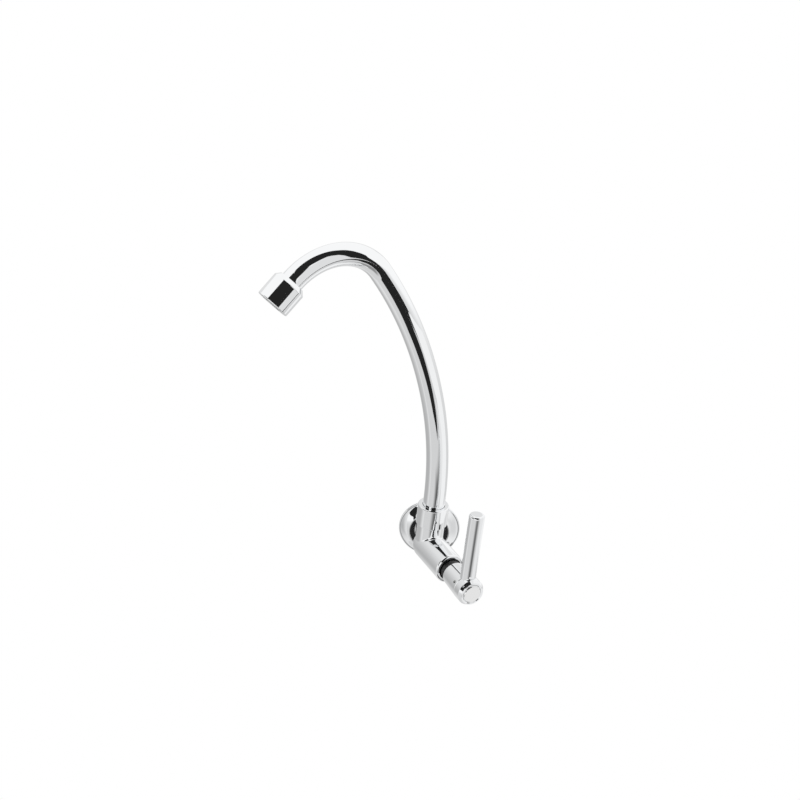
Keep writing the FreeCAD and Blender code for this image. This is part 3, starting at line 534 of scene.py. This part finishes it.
def cap_outline():
    """A bevelled disc. Its face falls from the middle by dome * (r / radius) squared."""
    r = np.linspace(CAP_RADIUS - 1.0, 0, CAP_FACE_STEPS)
    face = np.stack([r, CAP_TOP - CAP_DOME * (r / CAP_RADIUS) ** 2], -1)
    edge = rounded_outline([
        (0, CAP_BACK), (CAP_RADIUS, CAP_BACK), (CAP_RADIUS, CAP_SIDE, CAP_ROUNDING),
        (*CAP_BEVEL, CAP_ROUNDING), tuple(face[0])], False)
    return np.concatenate([edge, face[1:]])


cap = write_mesh("bare_cap", [(turned_grid(cap_outline(), BARREL), False)])
stand_for(cap, "handle", "index_cap", "chromed_cap")

# %% [markdown]
# ## The lever
# The lever is a plain 13.7 mm bar with a rounded top. Its lower end is milled to the hub's curve.
# A cylinder could simply be sunk into the hub, but then hidden faces would lie inside it, so the
# bottom of the grid follows the hub's round instead.

# %% The lever
LEVER_STATION = 73.5
LEVER_RADIUS = 6.85
LEVER_SIDE_START = 16.0
LEVER_TOP = 74.0
LEVER_ROUNDING = 2.2
LEVER_SEAT = HUB_RADIUS + 0.05
LEVER_SEAT_STEPS = 10
LEVER_FOOT = COLUMN_FOOT + BARREL_OUT * LEVER_STATION


def lever_grid():
    """Saddle, side and rounded end. The saddle's height is
    sqrt(seat radius squared - sideways squared)."""
    a = np.linspace(0, 2 * math.pi, AROUND, endpoint=False)
    ring = np.cos(a)[:, None] * BARREL_SIDE + np.sin(a)[:, None] * BARREL_OUT
    radii = np.linspace(0, LEVER_RADIUS, LEVER_SEAT_STEPS)[:, None]
    height = np.sqrt(LEVER_SEAT**2 - (radii * np.cos(a)) ** 2)
    bottom = radii[..., None] * ring + height[..., None] * UP
    top = rounded_outline([
        (LEVER_RADIUS, LEVER_SIDE_START), (LEVER_RADIUS, LEVER_TOP, LEVER_ROUNDING),
        (0, LEVER_TOP)], False)
    upper = top[:, 0, None, None] * ring + top[:, 1, None, None] * UP
    return LEVER_FOOT + np.concatenate([bottom, upper])


lever = write_mesh("round_lever", [(lever_grid(), False)])
stand_for(lever, "handle", "lever", "chromed_tube")

# %% [markdown]
# ## The swan-neck's middle line
# The spout is one drawn tube, 19.5 mm across, bent on three formers. A Bezier curve could follow
# it, but its bend changes all the way, and the black band in the chrome would wander. A tube
# bender makes arcs, so the middle line is a short straight and three arcs that share their
# tangents, and the reflection flows without a kink.

# %% The swan-neck's middle line
TUBE_START = 35.8
RISER = 42.0
RISER_GUARD = 0.5
BENDS = ((345.0, 17.5, 70), (430.0, 21.0, 90), (57.0, 97.0, 150))
TUBE_END = 14.0


def spout_line():
    """Reach, height and lean of the middle line: on each arc the reach grows by
    R (cos first lean - cos lean) and the height by R (sin lean - sin first lean)."""
    rows = [np.array([(0, TUBE_START, 0), (0, RISER - RISER_GUARD, 0), (0, RISER, 0)])]
    reach, height, lean = 0.0, RISER, 0.0
    for radius, sweep, steps in BENDS:
        a = lean + np.radians(np.linspace(0, sweep, steps + 1)[1:])
        r = reach + radius * (math.cos(lean) - np.cos(a))
        z = height + radius * (np.sin(a) - math.sin(lean))
        rows.append(np.stack([r, z, a], -1))
        reach, height, lean = r[-1], z[-1], a[-1]
    end = (reach + TUBE_END * math.sin(lean), height + TUBE_END * math.cos(lean), lean)
    rows.append(np.array([end]))
    return np.concatenate(rows), (reach, height, lean)


SPOUT_LINE, (OUTLET_REACH, OUTLET_HEIGHT, OUTLET_LEAN) = spout_line()
print("outlet leans %.1f degrees, reach %.1f mm" % (math.degrees(OUTLET_LEAN), OUTLET_REACH))

# %% [markdown]
# ## The swan-neck's skin
# A ring is carried along the middle line and kept square to it. The line lies in one upright
# plane, so the ring never twists. The grid runs along the outside and comes back along the bore,
# which makes a closed wall of 1 mm without a Solidify modifier.

# %% The swan-neck's skin
TUBE_RADIUS = 9.75
TUBE_BORE = 8.75
TUBE_AROUND = 128


def tube_grid():
    """middle + radius * (cos a * inner + sin a * level), along the skin and back in the bore."""
    a = np.linspace(0, 2 * math.pi, TUBE_AROUND, endpoint=False)[None, :, None]
    level = np.cross(SPOUT_OUT, UP)
    line = np.concatenate([SPOUT_LINE, SPOUT_LINE[::-1]])
    radius = np.repeat([TUBE_RADIUS, TUBE_BORE], len(SPOUT_LINE))[:, None, None]
    reach, height, lean = line.T
    middle = COLUMN_FOOT + reach[:, None] * SPOUT_OUT + height[:, None] * UP
    inner = np.cos(lean)[:, None] * SPOUT_OUT - np.sin(lean)[:, None] * UP
    ring = np.cos(a) * inner[:, None] + np.sin(a) * level
    return middle[:, None] + radius * ring


tube = write_mesh("bent_tube", [(tube_grid(), True)])
stand_for(tube, "spout", "spout_tube", "chromed_tube")

# %% [markdown]
# ## The outlet
# A coned chrome housing screws over the tube's end and holds the aerator. Its mouth has a thin
# rounded lip, and behind it sits the white insert with a steel screen. It is turned in one go,
# outside and inside, so that the lip has a true thickness.

# %% The outlet
HOUSING_HOLE = 10.05
HOUSING_BACK = 11.175
HOUSING_CONE = 3.8
HOUSING_RADIUS = 14.6
HOUSING_LENGTH = 24.0
MOUTH_RADIUS = 11.4
MOUTH_LIP = 22.6
AERATOR_RADIUS = 12.5
AERATOR_STEP = 16.0
SLEEVE_RADIUS = 11.65
SLEEVE_STEP = 5.0
OUTLET_ALONG = math.sin(OUTLET_LEAN) * SPOUT_OUT + math.cos(OUTLET_LEAN) * UP
OUTLET_BASE = COLUMN_FOOT + OUTLET_REACH * SPOUT_OUT + OUTLET_HEIGHT * UP
OUTLET = axes(OUTLET_BASE, OUTLET_ALONG, np.cross(SPOUT_OUT, UP))

housing = turned("coned_housing", [
    (HOUSING_HOLE, 0), (HOUSING_BACK, 0, 0.2), (HOUSING_RADIUS, HOUSING_CONE, 0.8),
    (HOUSING_RADIUS, HOUSING_LENGTH, 0.8), (MOUTH_RADIUS, HOUSING_LENGTH, 0.3),
    (MOUTH_RADIUS, MOUTH_LIP), (AERATOR_RADIUS, MOUTH_LIP), (AERATOR_RADIUS, AERATOR_STEP),
    (SLEEVE_RADIUS, AERATOR_STEP), (SLEEVE_RADIUS, SLEEVE_STEP), (HOUSING_HOLE, SLEEVE_STEP)],
    OUTLET)
stand_for(housing, "spout", "outlet_housing", "chromed_casting")

# %% [markdown]
# ## Colours and nodes
# Colours are easiest to read as hex values, but Blender mixes light in linear numbers, so one
# function turns the first into the second. One function adds a shader node with its settings and
# links, and one makes a finish from what tells these materials apart: a name, a colour, whether
# it is metal, and how rough its surface is.

# %% Colours and nodes
def linear(colour):
    """sRGB hex to linear: c / 12.92 below 0.04045, else ((c + 0.055) / 1.055) ** 2.4."""
    c = np.array([int(colour[i:i + 2], 16) / 255 for i in (1, 3, 5)])
    c = np.where(c <= 0.04045, c / 12.92, ((c + 0.055) / 1.055) ** 2.4)
    return (*c.tolist(), 1.0)


def grey(level):
    """A neutral linear colour."""
    return (level, level, level, 1.0)


def add(tree, kind, links=(), **settings):
    """Add a node. Settings name its properties or inputs, and links are (input, socket)."""
    node = tree.nodes.new(kind)
    for key, value in settings.items():
        if key in node.inputs:
            node.inputs[key].default_value = value
        else:
            setattr(node, key, value)
    for key, socket in links:
        tree.links.new(socket, node.inputs[key])
    return node


def finish(name, colour, metallic, roughness):
    """A Principled finish."""
    material = bpy.data.materials.new(name)
    material.use_nodes = True
    shader = material.node_tree.nodes["Principled BSDF"]
    shader.inputs["Base Color"].default_value = linear(colour)
    shader.inputs["Metallic"].default_value = metallic
    shader.inputs["Roughness"].default_value = roughness
    return material


print("chrome in linear light:", [round(c, 3) for c in linear("#F6F7F8")])

# %% [markdown]
# ## The finishes
# Each finish starts from what the real piece is made of and how its surface was made. Chrome
# plate could be painted grey, but only a metal with a nearly white reflection and a very low
# roughness shows the tent as the real plate does. The roughness says how well the brass was
# polished before plating.

# %% The finishes
FINISHES = {
    # Chrome over a ground and polished casting: a mirror with a trace of softness.
    "chromed_casting": finish("polished_chrome_on_casting", "#F6F7F8", 1, 0.035),
    # Chrome over pressed sheet, which is polished less: black edges turn a little softer.
    "chromed_pressing": finish("polished_chrome_on_sheet", "#F6F7F8", 1, 0.045),
    # Chrome over drawn tube and bar, smooth from the start: the sharpest mirror on the tap.
    "chromed_tube": finish("polished_chrome_on_tube", "#F6F7F8", 1, 0.03),
    # Satin chrome: an even pale disc in place of a picture.
    "chromed_cap": finish("satin_chrome_cap", "#F2F2F2", 1, 0.07),
    # Bare brass with fine tool marks: a warm yellow sheen.
    "turned_brass": finish("bare_turned_brass", "#C9A45C", 1, 0.28),
    # Zinc on steel screws: a dull silver that blurs what it mirrors.
    "plated_steel": finish("zinc_plated_steel", "#B9BAB6", 1, 0.3),
    # Drawn and hardened spring wire: darker than the zinc, with a soft gloss.
    "spring_steel": finish("bright_spring_steel", "#9FA1A3", 1, 0.25),
    # Woven stainless wire: the wires are too fine to be seen singly, so it is an even grey sheen.
    "steel_mesh": finish("woven_stainless", "#AEB2B5", 1, 0.3),
    # Alumina, ground and lapped flat: ivory with a clear gloss.
    "white_ceramic": finish("lapped_alumina", "#EFEBDD", 0, 0.12),
    # Moulded nitrile rubber: soft black without a highlight.
    "black_rubber": finish("moulded_rubber", "#161616", 0, 0.7),
    # Vulcanised fibre, pressed: dull red brown, like stiff card.
    "fibre_washer": finish("pressed_fibre", "#8A3B2A", 0, 0.8),
    # Moulded acetal, black: deep black with a broad, waxy highlight.
    "black_acetal": finish("moulded_black_acetal", "#0C0C0D", 0, 0.35),
    # Moulded acetal, white: milky white with the same waxy highlight.
    "white_acetal": finish("moulded_white_acetal", "#E9E8E2", 0, 0.4),
}
slots = {row["node"]: row["material_slot"] for row in frame["record"]["subparts"]}
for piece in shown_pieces():
    slot = slots.get(piece.name) or piece.get("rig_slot")
    piece.data.materials.clear()
    piece.data.materials.append(FINISHES[slot])
    piece.data.shade_smooth()
print("finishes:", len(FINISHES))

# %% [markdown]
# ## The neck painted dark as shade
# The flange hides the neck. There its faces get a dark, matt finish as painted shade, which stands
# for the shade between the column and the flange, and the flange's dish mirrors it nearly black. The
# neck belongs to the casting and stays in its mesh, so its faces get a second material instead of
# a piece of their own.

# %% The neck painted dark as shade
# Painted shade: dark matt metal on the hidden neck, for the flange's dish to mirror.
neck_shade_finish = finish("plated_but_unpolished_casting", "#3A3A3B", 1, 0.5)
tap_body.data.materials.append(neck_shade_finish)
middles = np.empty(3 * len(tap_body.data.polygons))
tap_body.data.polygons.foreach_get("center", middles)
depth = -middles[1::3] / MM
in_painted_shade = (depth < NECK_SHADED) & (depth > SHOULDER)
tap_body.data.polygons.foreach_set("material_index", in_painted_shade.astype(np.int32))
# Counts the neck's faces that carry the painted shade.
print("faces of the neck left as cast:", int(in_painted_shade.sum()))

# %% [markdown]
# ## How a card is made
# A chromed piece is photographed in a white tent, with cards that draw its edges. Area lamps
# could do that, but a lamp has a straight edge, and a card can be cut to any line. Each card is a
# patch of a sphere, given by elevation and azimuth, and glows by itself. Only mirror rays see the
# cards, so the white of the tent stays even. Cards that overlap are kept apart by a small step in
# radius.

# %% How a card is made
FAR = 8.0
APART = 0.1
TENT_CENTRE = (0.0, -0.03, 0.1)
CARD_STEPS = 80
FELT = 0.018
scene = bpy.context.scene


def shader_tree(name):
    """A material with an empty node tree."""
    material = bpy.data.materials.new(name)
    material.use_nodes = True
    material.node_tree.nodes.clear()
    return material, material.node_tree


card_finish, tree = shader_tree("lit_card")
glow = add(tree, "ShaderNodeAttribute", attribute_name="glow")
light = add(tree, "ShaderNodeEmission", [("Strength", glow.outputs["Fac"])], Color=grey(1))
add(tree, "ShaderNodeOutputMaterial", [("Surface", light.outputs[0])])


def card(name, rows, around=1.0, soft=0.0, radius=FAR, centre=TENT_CENTRE):
    """A patch of a sphere from (elevation, left azimuth, right azimuth, glow) rows, where a point
    is centre + radius * (sin az cos el, -cos az cos el, sin el).

    Azimuth 0 is towards the camera and grows to its right. Within the share "soft" of the width
    and the height, the glow blends from the card's own to the one around it."""
    rows = np.array(rows, float)
    e = np.linspace(rows[0, 0], rows[-1, 0], CARD_STEPS)
    left, right, level = (np.interp(e, rows[:, 0], rows[:, k]) for k in (1, 2, 3))
    share = np.linspace(0, 1, CARD_STEPS)
    az = np.radians(left[:, None] + (right - left)[:, None] * share)
    el = np.radians(e)[:, None] + 0 * az
    points = radius * np.stack(
        [np.sin(az) * np.cos(el), -np.cos(az) * np.cos(el), np.sin(el)], -1)
    i, j = np.meshgrid(np.arange(CARD_STEPS - 1), np.arange(CARD_STEPS - 1), indexing="ij")
    first = (i * CARD_STEPS + j).reshape(-1, 1)
    faces = first + np.array([0, 1, CARD_STEPS + 1, CARD_STEPS])
    mesh = bpy.data.meshes.new(name)
    mesh.from_pydata(points.reshape(-1, 3) + centre, [], faces)
    to_edge = np.minimum(share, 1 - share)
    inside = np.ones((CARD_STEPS, CARD_STEPS))
    if soft:
        inside = np.clip(np.minimum(to_edge[None, :], to_edge[:, None]) / soft, 0, 1)
    inside = inside**2 * (3 - 2 * inside)
    tone = around + (level[:, None] - around) * inside
    mesh.attributes.new("glow", "FLOAT", "POINT").data.foreach_set("value", tone.reshape(-1))
    mesh.materials.append(card_finish)
    patch = bpy.data.objects.new(name, mesh)
    scene.collection.objects.link(patch)
    patch.visible_camera = False
    patch.visible_diffuse = False
    patch.visible_shadow = False
    patch.visible_transmission = False
    patch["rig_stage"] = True
    print(name, "from", rows[0, 0], "to", rows[-1, 0], "degrees, radius", round(radius, 2), "m")


def even(level, *rows):
    """Rows with one glow."""
    return [(*row, level) for row in rows]


# %% [markdown]
# ## The black cards
# The black cards stand for the dark gear round the tent. The chrome shows them as the band along
# the spout and on the outlet, as the crescents in the flange, and as the dark stripes and marks on
# column, lever and hub. One big card would serve all of them at once, and four can be cut to fit
# one band after the other.

# %% The black cards
card("black_card_over", even(
    FELT, (-26, 73, 77), (-20, 73, 79), (-12, 71, 81), (0, 70, 82), (12, 69, 87), (24, 67, 88),
    (30, 64, 89), (36, 61, 90), (41, 56, 90), (43, 0, 91), (48, -30, 91), (54, -32, 91),
    (60, -62, 91), (75, -75, 96), (90, -80, 100)))
card("black_card_front", even(
    FELT, (-4, 30, 41), (0, 22, 40), (6, 12, 37), (12, 4, 31), (18, -4, 26), (24, -12, 22),
    (27, -16, 27), (30, -22, 28), (36, -34, 29), (43, -50, 30), (56, -52, 30)))
card("black_card_low", even(
    FELT, (-63, 0, 28), (-60, -2, 32), (-54, 1, 46), (-48, 4, 62), (-42, 15, 70), (-40, 18, 73),
    (-39, 45, 73), (-37, 54, 73), (-34, 59, 74), (-31, 62, 74), (-28, 65, 75),
    (-25, 70, 76.5), (-23, 72, 78)), radius=FAR - 2 * APART)
card("black_card_left", even(
    FELT, (-8, -33, -29), (-3, -38, -28), (0, -40, -30), (4, -44, -33), (8, -66, -36),
    (12, -78, -38), (18, -91, -41), (24, -91, -45), (30, -91, -46), (36, -90, -44),
    (40, -82, -44), (43, -68, -44)))

# %% [markdown]
# ## The grey and pale cards
# Chrome that mirrors only black and white looks drawn with ink. Grey and pale cards with soft
# edges give it the middle tones, between the white of the tent and the black of the felt.

# %% The grey and pale cards
card("grey_card_low", even(0.11, (-40, -20, 52), (-34, -18, 50), (-24, -14, 46)),
     0.68, 0.5, FAR - APART)
card("grey_card_foot", even(0.28, (-74, 30, 100), (-62, 36, 100), (-48, 58, 92), (-44, 66, 90)),
     0.66, 0.3)
card("pale_card", even(0.78, (-29, 46, 112), (-20, 50, 80), (-6, 42, 74), (6, 36, 72),
                       (18, 26, 72), (30, 27, 70), (40, 27, 62)), 0.95, 0.1, FAR + APART)

# %% [markdown]
# ## The near cards
# A far card is mirrored by every piece at once. A pale card close to one piece hides the far ones
# from that piece alone. One stands behind the tap, one beside the column and the spout, one beside
# the lever, one under the hub, and one beside the flange.

# %% The near cards
TAP_MIDDLE = (0.0, -0.03, 0.0)
SPOUT_FOOT = (0.0, -0.03, 0.11)
LEVER_MIDDLE = (0.04, -0.1, 0.045)
HUB_FACE = (0.04, -0.104, 0.0)
FLANGE_FACE = (0.01, -0.008, 0.0)

card("near_card_behind", [
    (-62, -178, -62, 0.62), (-45, -178, -62, 0.5), (-25, -178, -62, 0.47), (-8, -178, -70, 0.54),
    (5, -184, -78, 0.6), (18, -192, -84, 0.68), (34, -194, -88, 0.78), (48, -194, -88, 0.86)],
    0.8, 0.3, 0.45, TAP_MIDDLE)
card("near_card_side", even(0.94, (-60, 57, 105), (-13, 52, 105), (-8, 44, 105), (10, 40, 105),
                            (26, 39, 105), (41, 40, 105)), 0.94, 0.0, 0.13, SPOUT_FOOT)
card("near_card_lever", even(0.84, (-65, 54, 110), (65, 54, 110)), 0.84, 0.0, 0.05, LEVER_MIDDLE)
card("near_card_below", even(0.86, (-80, -50, 115), (-42, -50, 115), (-36, 10, 115),
                             (-11, 12, 115)), 0.86, 0.0, 0.03, HUB_FACE)
card("near_card_beside", even(0.7, (-50, 35, 120), (50, 35, 120)), 0.9, 0.4, 0.04, FLANGE_FACE)

# %% [markdown]
# ## The world
# The world is plain white, as the inside of a well lit tent. A picture of a studio could light
# the tap too, but an even white with cards in front of it says exactly what each mirror sees.

# %% The world
world = bpy.data.worlds.new("tent")
world.use_nodes = True
scene.world = world
world.node_tree.nodes["Background"].inputs["Color"].default_value = grey(1)
world.node_tree.nodes["Background"].inputs["Strength"].default_value = 1.0
print("world:", world.name)

# %% [markdown]
# ## The floor
# The floor is white paper far below the tap. Paper falls off in the light of a tent, so mirror
# rays see it a little greyer under the tap and white towards the horizon. Light Path tells the
# kinds of ray apart, and the camera itself sees plain white.

# %% The floor
FLOOR_REACH = 100.0
FLOOR_LEVEL = -8.5
FALL_START = 11.0
FALL_END = 68.0
GREY_UNDER_TAP = 0.68

paper, tree = shader_tree("white_paper")
ray = add(tree, "ShaderNodeLightPath")
spot = add(tree, "ShaderNodeTexCoord")
distance = add(tree, "ShaderNodeVectorMath", [(0, spot.outputs["Object"])], operation="LENGTH")
fall = add(tree, "ShaderNodeMapRange", [("Value", distance.outputs["Value"])],
           interpolation_type="SMOOTHSTEP")
for key, value in (("From Min", FALL_START), ("From Max", FALL_END),
                   ("To Min", GREY_UNDER_TAP), ("To Max", 1.0)):
    fall.inputs[key].default_value = value
matt = add(tree, "ShaderNodeBsdfDiffuse", Color=grey(0.8))
white = add(tree, "ShaderNodeEmission", Color=grey(1), Strength=1.0)
pale = add(tree, "ShaderNodeEmission", [("Color", fall.outputs[0])], Strength=1.0)
mirrored = add(tree, "ShaderNodeMixShader",
               [(0, ray.outputs["Is Glossy Ray"]), (1, matt.outputs[0]), (2, pale.outputs[0])])
seen = add(tree, "ShaderNodeMixShader",
           [(0, ray.outputs["Is Camera Ray"]), (1, mirrored.outputs[0]), (2, white.outputs[0])])
add(tree, "ShaderNodeOutputMaterial", [("Surface", seen.outputs[0])])
floor_mesh = bpy.data.meshes.new("floor")
floor_mesh.from_pydata([
    (-FLOOR_REACH, -FLOOR_REACH, 0), (FLOOR_REACH, -FLOOR_REACH, 0),
    (FLOOR_REACH, FLOOR_REACH, 0), (-FLOOR_REACH, FLOOR_REACH, 0)], [], [(0, 1, 2, 3)])
floor_mesh.materials.append(paper)
floor = bpy.data.objects.new("floor", floor_mesh)
floor.location.z = FLOOR_LEVEL
scene.collection.objects.link(floor)
floor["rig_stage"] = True
print("floor %.1f m below the tap" % -FLOOR_LEVEL)

# %% [markdown]
# ## Camera
# The photograph looks down at 27 degrees with a long lens, and leans by 7 degrees. The camera
# could be moved by hand until the outlines agree. It is steadier to work its place out from its
# direction, its distance and the spot in the picture where the tap's origin falls.

# %% Camera
CAMERA_AZIMUTH = math.radians(0.75)
CAMERA_HEIGHT = math.radians(27.37)
CAMERA_LEAN = math.radians(-7.31)
DISTANCE = 2.0
FOCAL_PIXELS = 2203.6
PICTURE_WIDTH = 800
PICTURE_CENTRE = (400.0, 400.0)
ORIGIN_IN_PICTURE = (429.3, 527.33)
SENSOR = 36.0
CLIP_END = 100.0

back = np.array([-math.sin(CAMERA_AZIMUTH) * math.cos(CAMERA_HEIGHT),
                 -math.cos(CAMERA_AZIMUTH) * math.cos(CAMERA_HEIGHT), math.sin(CAMERA_HEIGHT)])
level = np.cross(-back, UP)
level /= np.linalg.norm(level)
above = np.cross(level, -back)
right = math.cos(CAMERA_LEAN) * level - math.sin(CAMERA_LEAN) * above
top = math.sin(CAMERA_LEAN) * level + math.cos(CAMERA_LEAN) * above
offset = (np.array(ORIGIN_IN_PICTURE) - PICTURE_CENTRE) / FOCAL_PIXELS * DISTANCE
place = -(right * offset[0] - top * offset[1] - back * DISTANCE)
lens = bpy.data.cameras.new("photo_camera")
lens.lens = FOCAL_PIXELS * SENSOR / PICTURE_WIDTH
lens.sensor_width = SENSOR
lens.clip_end = CLIP_END
camera = bpy.data.objects.new("photo_camera", lens)
scene.collection.objects.link(camera)
pose = np.eye(4)
pose[:3, 0], pose[:3, 1], pose[:3, 2], pose[:3, 3] = right, top, back, place
camera.matrix_world = Matrix(pose.tolist())
scene.camera = camera
scene.view_settings.view_transform = "Standard"
print("camera at", place.round(3))

# %% [markdown]
# ## Size and finish
# The box round the solids, kept from the start, and the box round the finished pieces are gathered
# in one table, and the size of each is printed in millimetres.

# %% Size and finish
boxes = {"cad": [list(corner) for corner in cad_box],
         "visual": [list(corner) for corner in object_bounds()]}
for title, (low, high) in boxes.items():
    print(title, [round(1000 * (b - a), 2) for a, b in zip(low, high)])
